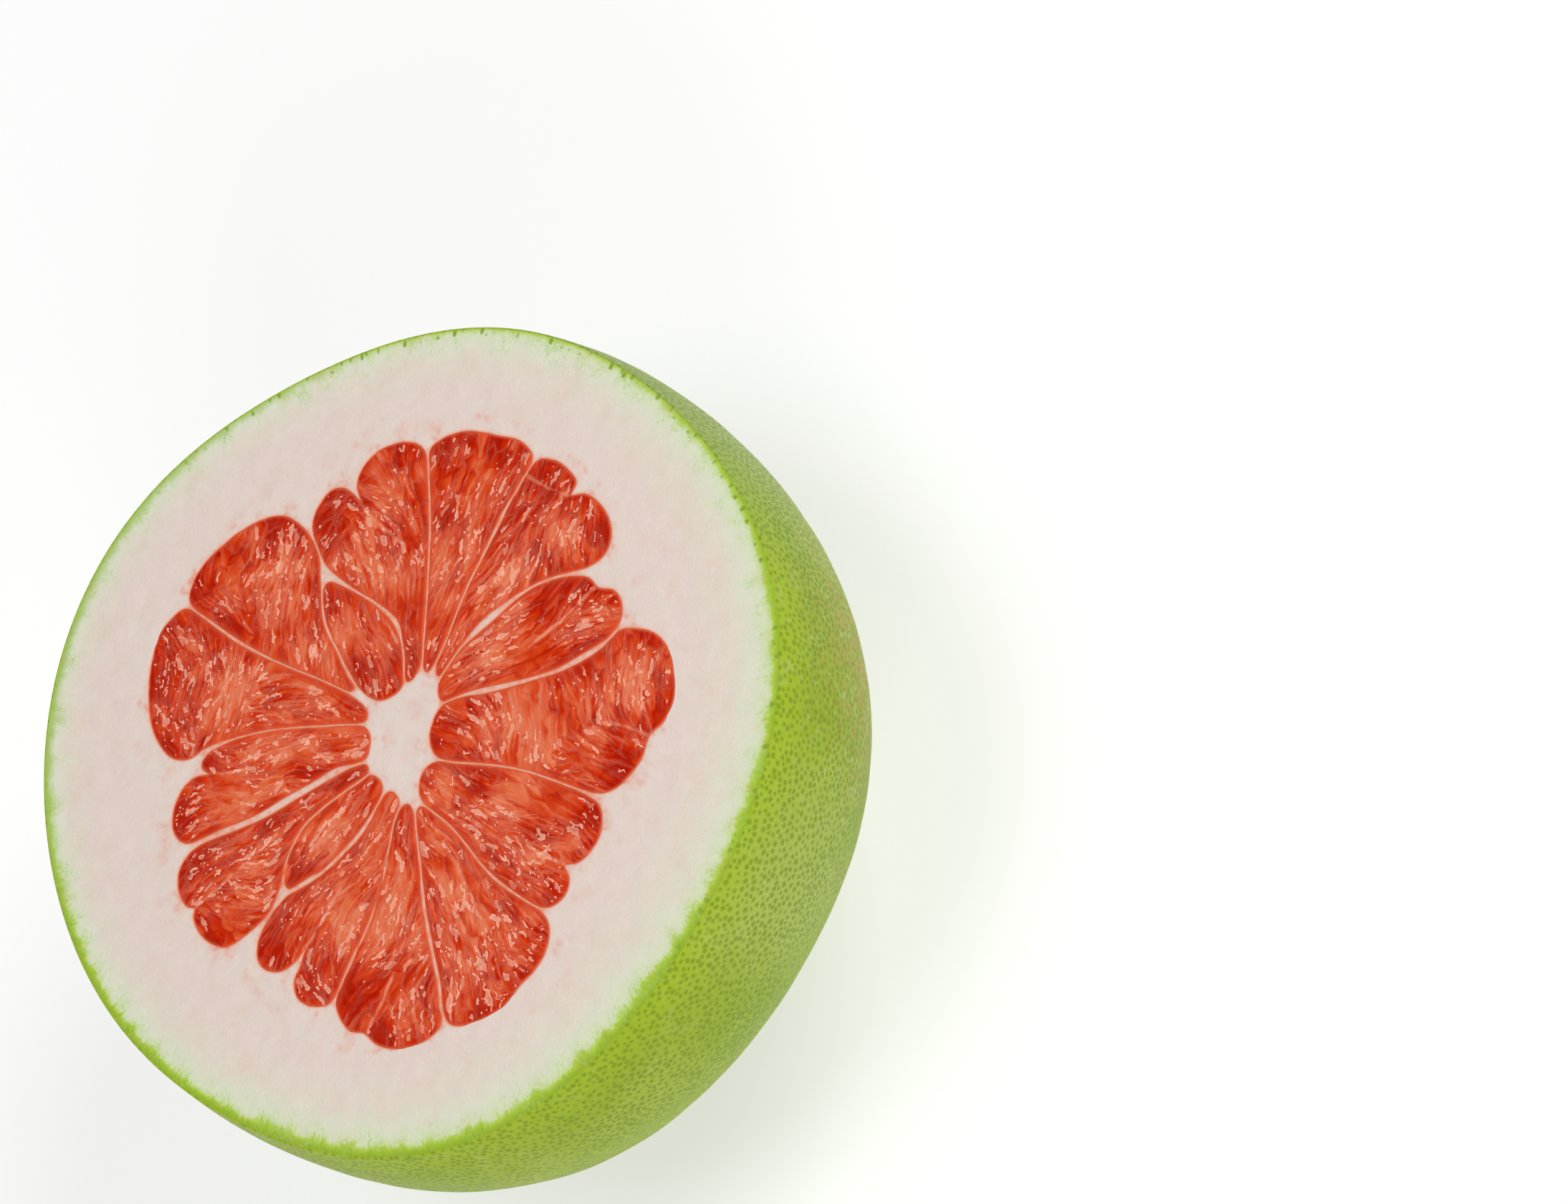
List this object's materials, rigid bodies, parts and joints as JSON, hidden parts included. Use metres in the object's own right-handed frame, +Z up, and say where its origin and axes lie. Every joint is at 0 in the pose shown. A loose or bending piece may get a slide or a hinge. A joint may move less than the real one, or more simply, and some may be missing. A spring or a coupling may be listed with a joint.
{
  "type": "half pomelo",
  "caption": "Large green citrus fruit cut in half, standing on its rounded end with the red, segmented cut face up.",
  "frame": {"origin": "middle of the footprint, on the surface that the fruit rests on", "axes": "+Z up, square to the cut face; +Y along the cut's longer width; +X across it"},
  "size_m": [0.1616, 0.1706, 0.086],
  "materials": {
    "rind": "waxy green citrus rind, satin, pitted with oil glands",
    "pith": "dry spongy white pith, matte",
    "flesh": "wet red juice vesicles, glossy"
  },
  "bodies": {
    "root": {"rind": "rind", "pith": "pith", "segment_01": "flesh", "segment_02": "flesh", "segment_03": "flesh", "segment_04": "flesh", "segment_05": "flesh", "segment_06": "flesh", "segment_07": "flesh", "segment_08": "flesh", "segment_09": "flesh", "segment_10": "flesh", "segment_11": "flesh", "segment_12": "flesh", "segment_13": "flesh", "segment_14": "flesh", "segment_15": "flesh"}
  },
  "joints": []
}
